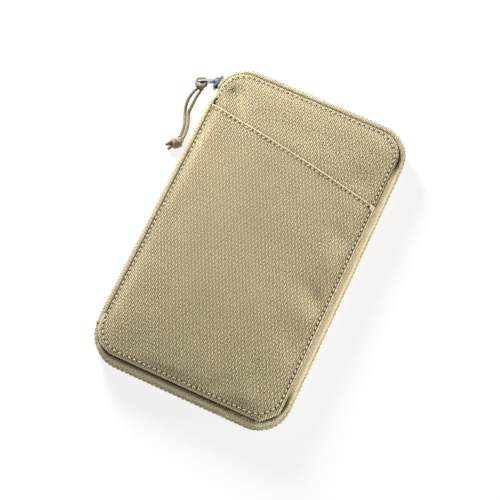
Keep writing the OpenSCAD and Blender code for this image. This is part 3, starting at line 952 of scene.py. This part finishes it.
def strip_data(section, y0, y1, thick, seed, end_section=None):
    """A strip of cloth along y with the given section, closed to a thin solid.

    Its ends tuck in, or turn into the end section."""
    middle = np.array(section, float)
    tangents = np.gradient(middle, axis=0)
    normals = np.column_stack([tangents[:, 1], -tangents[:, 0]])
    normals /= np.linalg.norm(normals, axis=1)[:, None]
    along = np.concatenate([[0], np.cumsum(np.linalg.norm(np.diff(middle, axis=0), axis=1))])
    count = int((y1 - y0) / 2.0)
    points, cloth = [], []
    m = len(middle)
    for i in range(count + 1):
        y = y0 + (y1 - y0) * i / count
        from_end = min(y - y0, y1 - y)
        tuck, here = 0.7 * math.exp(-from_end / 0.9), middle
        if end_section is not None:
            tuck = 0.0
            here = middle + (np.array(end_section) - middle) * (1 - float(smoothstep(from_end, 0.0, 11.0)))
        for k in range(m):
            swell = math.sin(math.pi * min(k / (m - 1) * 1.6, 1))
            push = 0.12 * noise.noise(Vector((y / 14.0, k / 4.0, seed))) * swell
            x, z = here[k] + normals[k] * (push + tuck)
            points.append((x, y, z))
            cloth.append((y, along[k]))
        for k in range(m - 1, -1, -1):
            x, z = here[k] + normals[k] * thick
            points.append((x, y, z))
            cloth.append((y, along[k]))
    return points, sweep_faces(count, 2 * m), cloth


def mirrored(section):
    return [(x, 2 * MID_Z - z) for x, z in section]


def make_spine():
    """The spine's cloth and lining, each in an upper and a lower half."""
    for name, half, end, (y0, y1), thick, seed, material, node in (
            ("spine", SPINE_OUT, SPINE_END, (-88.6, 86.0), 0.8, 4.0, "band_canvas", "spine_panel"),
            ("spine_lining", SPINE_LINING, None, (-85.0, 82.5), -0.3, 9.0, "lining", "spine_lining")):
        high_data = strip_data(half, y0, y1, thick, seed, end)
        upper = piece(name + "_upper", high_data, material, None, node)
        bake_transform(upper)
        low_half, low_end = mirrored(half), mirrored(end) if end else None
        low_data = strip_data(low_half, y0, y1, -thick, seed, low_end)
        lower = piece(name + "_lower", low_data, material, None, node)
        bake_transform(lower)


# ---------------------------------------------------------------- inside: linings, pockets and slots
def closed_rings(rings, shape, thin, back=True):
    """Mesh data of rings joined into one surface, its middle and, if asked, its back's middle filled."""
    faces, starts = ring_faces(rings)
    faces += shape.close_middle(starts[-1], thin)
    if back:
        faces += flipped(shape.close_middle(0, thin))
    points = np.vstack(rings)
    return points, flipped(faces), points[:, :2].copy()


def sheet_data(shape, top, bottom, thick, seam, seed, lift=0.1):
    """A thin closed sheet: rolled edge, a seam's groove near it, and slightly slack cloth between."""
    reach = min(shape.half_w, shape.half_l)
    edge = [(inset, top - thick) for inset in (reach - 0.4, 3.0, 0.7)]
    edge += [(0.3, bottom), (0.0, bottom + 0.12), (0.0, top - 0.15), (0.15, top - 0.02)]
    rings = []
    for inset, z in edge:
        p = shape.outline(inset)
        rings.append(np.column_stack([p, np.full(len(p), z)]))
    insets = [0.5, 0.9, seam - 0.35, seam, seam + 0.35, seam + 0.9, 3.6, 5.0, 7.5]
    for inset in insets + list(np.arange(11.0, reach - 1.0, 4.0)) + [reach - 0.4]:
        p = shape.outline(inset)
        slack = (lift + 0.1 * value_noise(p[:, 0], p[:, 1], 17.0, seed)) * smoothstep(inset, seam, 7.0)
        groove = 0.14 * math.exp(-(((inset - seam) / 0.3) ** 2))
        rings.append(np.column_stack([p, top - groove + slack]))
    return closed_rings(rings, shape, 1)


def seam_line(shape, seam, top, pitch, sides=(True, True, True, True)):
    """Stitches along a sheet's seam on the top, right, bottom and left, as one mesh."""
    hw, hl = shape.half_w - seam, shape.half_l - seam
    r = max(shape.radius - seam, 0.5)
    legs = [((-hw + r, hl), (hw - r, hl)), ((hw, hl - r), (hw, -hl + r)), ((hw - r, -hl), (-hw + r, -hl)),
            ((-hw, -hl + r), (-hw, hl - r))]
    rows = []
    for (a, b), wanted in zip(legs, sides):
        if wanted:
            a, b = np.array(a) + shape.centre, np.array(b) + shape.centre
            count = int(np.linalg.norm(b - a) / pitch)
            holes = [(*(a + (b - a) * k / count), top - 0.05) for k in range(count + 1)]
            rows.append(stitch_row(holes, 0.16, 0.2))
    return join(rows)


def inner_piece(node, body, radius, seed, down=False, pocket=True):
    """A lining, or a pocket with its bound mouth, with its seam. down turns its face to the rear."""
    name = node + "_cloth"
    low, high = cad(node)
    shape = Rounded(low, high, radius, 60, 36, 8)
    top, bottom = high[2], low[2]
    place = (lambda data: turned_over(data, top + bottom)) if down else (lambda data: data)
    data = sheet_data(shape, top, bottom, top - bottom - 0.02, INNER_SEAM, seed)
    made = piece(name, place(data), "lining", body, node)
    thread = seam_line(shape, INNER_SEAM, top, 2.8, (not pocket, True, True, True))
    piece(name + "_thread", place(thread), "lining_thread", body)
    if pocket:
        start = (low[0] + radius * 0.35, high[1])
        length = (high[0] - low[0]) - radius * 0.7
        data, holes, _ = hem_data(start, (1, 0), (0, -1), length, lambda x, y: top, BINDING, 3.0, 2.8)
        piece(name + "_binding", place(data), "hem", body)
        piece(name + "_binding_thread", place(stitch_row(holes, 0.16, 0.2)), "lining_thread", body)
    return made


def make_inside():
    sheets = [
        inner_piece("rear_lining", "rear_cover", PANEL_R, 1.0, pocket=False),
        inner_piece("document_pocket", "rear_cover", 8, 2.0),
        inner_piece("passport_pocket", "rear_cover", 8, 3.0),
        inner_piece("front_lining", "front_cover", PANEL_R, 4.0, down=True, pocket=False),
        inner_piece("note_pocket", "front_cover", 8, 5.0, down=True),
    ]
    sheets += [inner_piece(f"card_slot_{i}", "front_cover", 3, 6.0 + i, down=True) for i in range(1, 5)]
    boards = []
    for side in ("rear", "front"):
        low, high = cad(f"{side}_board")
        shape = Rounded(low, high, 12, 60, 36, 8)
        data = sheet_data(shape, high[2] - 0.05, low[2] + 0.02, 1.15, INNER_SEAM, 3.0, 0.0)
        boards.append(piece(f"{side}_foam_board", data, "foam_board", f"{side}_cover", f"{side}_board"))
    return sheets, boards


COIN_ZIP_Y = -20.5


def make_coin_pocket():
    """The coin pocket's lower and upper cloth, the zip between them and the tabs over the zip's ends."""
    low, high = cad("coin_pocket")
    top, bottom = high[2], low[2]
    for name, corner_a, corner_b, radius, tab in (
            ("coin_pocket_cloth", low[:2], (high[0], COIN_ZIP_Y - 2.9), 5.0, False),
            ("coin_pocket_top_cloth", (low[0], COIN_ZIP_Y + 2.9), high[:2], 1.2, False),
            ("coin_zip_left_tab", (low[0], COIN_ZIP_Y - 3.6), (-42.5, COIN_ZIP_Y + 3.6), 1.2, True),
            ("coin_zip_right_tab", (42.5, COIN_ZIP_Y - 3.6), (high[0], COIN_ZIP_Y + 3.6), 1.2, True)):
        shape = Rounded(corner_a, corner_b, radius, 60, 36, 8)
        height = top + (0.45 if tab else 0.0)
        lift = 0.0 if tab else 0.12
        data = sheet_data(shape, height, height - 0.4 if tab else bottom, 0.38, 0.9, 3.0, lift)
        made = piece(name, data, "hem" if tab else "lining", "rear_cover")
        thread = seam_line(shape, 0.9, height, 2.6, (tab, True, True, True))
        piece(name + "_thread", thread, "lining_thread", "rear_cover")
        if name == "coin_pocket_cloth":
            cloth = made
    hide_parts("coin_pocket")
    tape_low, tape_high = cad("coin_zip_tapes")
    halves, coils = [], []
    for side in (-1, 1):
        inner, outer = COIN_ZIP_Y + side * 1.3, COIN_ZIP_Y + side * 3.5
        corners = (tape_low[0], min(inner, outer)), (tape_high[0], max(inner, outer))
        strip = Rounded(*corners, 0.5, 60, 36, 8)
        halves.append(sheet_data(strip, tape_high[2] - 0.02, tape_low[2] + 0.02, 0.3, 0.9, 6.0, 0.0))
        path = []
        for i in range(int(84.0 / COIL_PITCH) * 8 + 1):
            turn = 2 * math.pi * i / 8
            x = -42.0 + COIL_PITCH * (i / 8 + (0.5 if side > 0 else 0.0))
            y = COIN_ZIP_Y + side * (0.75 - 1.0 * math.cos(turn))
            path.append((x, y, tape_high[2] + 0.55 + 0.36 * math.sin(turn)))
        coils.append(tube_data(path, 0.26, 5))
    piece("coin_zip_tape_strips", join(halves), "zip_tape", "rear_cover", "coin_zip_tapes")
    piece("coin_zip_coil", join(coils), "zip_coil", "rear_cover", "coin_zip_teeth")
    return cloth


# ---------------------------------------------------------------- slider, tab and cord
LEFT_ROUTE = [(-77.7, 85, 8.1), (-79, 82, 7.8), (-80.2, 78.8, 7), (-81, 75.6, 5.8), (-81.2, 72.5, 4.4),
              (-80.9, 69.8, 3), (-80.2, 67.2, 1.8), (-79.2, 64.6, 1), (-78, 61.8, 1), (-76.9, 58.6, 1),
              (-76.1, 55.2, 1), (-75.7, 51.8, 1), (-75.6, 48.6, 1.8)]
RIGHT_ROUTE = [(-75.8, 84.5, 8.1), (-76.4, 81.4, 7.8), (-77, 78.4, 7), (-77.4, 75.6, 5.8),
               (-77.7, 72.8, 4.4), (-77.9, 70.2, 3), (-78.1, 67.8, 1.8), (-77.3, 65.3, 1), (-76.1, 62.4, 1),
               (-75, 59.1, 1), (-74.2, 55.4, 1), (-73.8, 51.8, 1), (-73.8, 48.6, 1.8)]
KNOT_AT = np.array([-75.6, 45.2, 3.7])


def make_cords():
    for side, route, shift in (("left", LEFT_ROUTE, -0.2), ("right", RIGHT_ROUTE, 0.25)):
        path = smooth_path(route, 6) + np.array([shift, 0.0, 0.15])
        data = tube_data(path, CORD_R, 14)
        piece(f"pull_strand_{side}", data, "cord", "pull_tab", f"pull_cord_{side}")
    ends = make_hitch(), make_knot()


# How far the tab's pin lies from the corner's middle, and the eye from the pin, and where the tab points.
PIN_OUT = CORNER_R + 4.3
TAB_DIR = math.radians(208)
EYE_AT = 9.0


def tab_frame():
    """The eye's centre, and the directions along the tab to its tip, out of its face, and up."""
    turn = math.pi - math.radians(12)
    pin = np.array([-CORNER_X + PIN_OUT * math.cos(turn), CORNER_Y + PIN_OUT * math.sin(turn), ZIP_Z])
    along = np.array([math.cos(TAB_DIR), math.sin(TAB_DIR), 0])
    face = np.array([math.cos(TAB_DIR + math.pi / 2), math.sin(TAB_DIR + math.pi / 2), 0])
    return pin + along * EYE_AT, along, face, np.array([0, 0, 1.0])


# The hitch's way round the tab's end: along the tab, out of its face and up.
HITCH = [(2.75, 1.55, -0.9), (1.3, 1.5, -0.85), (0.1, 0.9, -0.8), (-0.25, -0.5, -0.85), (0.6, -1.55, -1.0),
         (2.4, -1.7, -1.15), (4.2, -1.35, -1.2), (5.0, 0.1, -1.25), (4.3, 1.7, -1.4), (2.9, 2.9, -1.75),
         (2.2, 3.5, -1.0), (2.05, 3.75, 0.0), (2.2, 3.5, 1.0), (2.9, 2.9, 1.75), (4.3, 1.7, 1.4),
         (5.0, 0.1, 1.25), (4.2, -1.35, 1.2), (2.4, -1.7, 1.15), (0.6, -1.55, 1.0), (-0.25, -0.5, 0.85),
         (0.1, 0.9, 0.8), (1.0, 2.2, 0.7), (1.15, 3.0, 0.1)]


def make_hitch():
    """A cow hitch: two turns through the eye and round the tab's end, and the bight across the strands."""
    eye, along, face, up = tab_frame()
    path = []
    for a, b, c in HITCH:
        out = b + 1.0 if b > 0 else b * 0.9 - 0.1
        path.append(eye + along * (a * 1.15 - 1.9) + face * out + up * 1.2 * c)
    return piece("cord_hitch_loops", tube_data(smooth_path(path, 5), CORD_R * 1.2, 12), "cord", "pull_tab",
                 "cord_hitch")


def make_knot():
    """An overhand knot in both strands: three tight turns, the strands through them, and two cut ends."""
    middle = KNOT_AT + np.array([0.2, -1.6, 0.0])
    down = np.array([-0.74, -0.67, 0.0])
    down /= np.linalg.norm(down)
    side = np.array([down[1], -down[0], 0.0])
    up = np.array([0, 0, 1.0])
    coil = [np.array([-75.2, 49.0, 1.6]), np.array([-74.6, 47.4, 1.7])]
    for i in range(0, 37):
        turn = 2 * math.pi * i / 12 + 0.6
        swell = 2.05 + 0.4 * math.sin(math.pi * i / 36)
        across, rise = side * swell * math.cos(turn), up * swell * math.sin(turn) * 0.95
        coil.append(middle + down * (-2.9 + 5.6 * i / 36) + across + rise)
    end = middle + down * 4.7 + side * 1.5 + up * -1.0
    coil += [coil[-1] * 0.45 + end * 0.55 + up * 0.5, end, end + down * 2.0 + side * 0.6 - up * 0.6]
    core = [np.array([-73.9, 49.0, 1.6]), np.array([-73.2, 46.6, 2.0]), middle - down * 1.8 + up * 0.2,
            middle + down * 1.0 - up * 0.2, middle + down * 3.4 - side * 0.8 - up * 0.6,
            middle + down * 6.4 - side * 1.5 - up * 1.6]
    cross = []
    for i in range(9):
        turn = -0.4 + 2.6 * i / 8
        round_it = side * 2.9 * math.cos(turn) + up * 2.75 * math.sin(turn)
        cross.append(middle + down * (2.5 - 4.6 * i / 8) + round_it)
    parts = [tube_data(smooth_path(coil, 3), CORD_R * 1.08, 12),
             tube_data(smooth_path(core, 6), CORD_R * 1.05, 12),
             tube_data(smooth_path(cross, 4), CORD_R, 12)]
    return piece("cord_knot_turns", join(parts), "cord", "pull_tab", "cord_knot")


def dress_metal():
    for node, name, width in (("zip_slider", "slider_metal", 0.28), ("pull_tab", "tab_metal", 0.22),
                              ("coin_zip_slider", "slider_metal", 0.2), ("coin_zip_pull", "tab_metal", 0.15)):
        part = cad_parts[node]
        for slot in part.material_slots:
            slot.material = MATERIALS[name]
        bevel = part.modifiers.new("rounded edges", "BEVEL")
        bevel.width = width * MM
        bevel.segments = 3
        bevel.limit_method = "ANGLE"
        bevel.angle_limit = math.radians(40)


# ---------------------------------------------------------------- floor and light
def make_stage():
    floor_mesh = bpy.data.meshes.new("floor")
    size = 3.0
    corners = [(-size, -size, 0), (size, -size, 0), (size, size, 0), (-size, size, 0)]
    floor_mesh.from_pydata(corners, [], [(0, 1, 2, 3)])
    paint = bpy.data.materials.new("floor")
    paint.use_nodes = True
    shader = paint.node_tree.nodes["Principled BSDF"]
    shader.inputs["Base Color"].default_value = (0.2, 0.2, 0.2, 1.0)
    shader.inputs["Roughness"].default_value = 0.9
    shader.inputs["Emission Color"].default_value = (1.0, 1.0, 1.0, 1.0)
    shader.inputs["Emission Strength"].default_value = 0.8
    floor_mesh.materials.append(paint)
    floor = bpy.data.objects.new("floor", floor_mesh)
    floor.location.z = -0.0004
    bpy.context.collection.objects.link(floor)


def add_light(name, place, size, power):
    data = bpy.data.lights.new(name, "AREA")
    data.shape = "DISK"
    data.size = size
    data.energy = power
    light = bpy.data.objects.new(name, data)
    light.location = place
    light.rotation_euler = (Vector(place) - MIDDLE).to_track_quat("Z", "Y").to_euler()
    bpy.context.collection.objects.link(light)


def make_lights():
    world = bpy.data.worlds.new("studio")
    world.use_nodes = True
    world.node_tree.nodes["Background"].inputs["Color"].default_value = (1.0, 1.0, 1.0, 1.0)
    world.node_tree.nodes["Background"].inputs["Strength"].default_value = 0.26
    bpy.context.scene.world = world
    add_light("key", (-0.46, 0.40, 0.25), 0.26, 11.5)
    add_light("side", (0.66, 0.05, 0.045), 0.08, 5.5)
    add_light("near", (0.10, -0.75, 0.045), 0.08, 2.4)


make_cords()
shell, pocket = make_front()
rear = make_rear()
make_bands()
make_spine()
sheets, boards = make_inside()
sheets.append(make_coin_pocket())
dress_metal()
make_stage()
make_lights()

bpy.context.scene.view_settings.view_transform = "Standard"
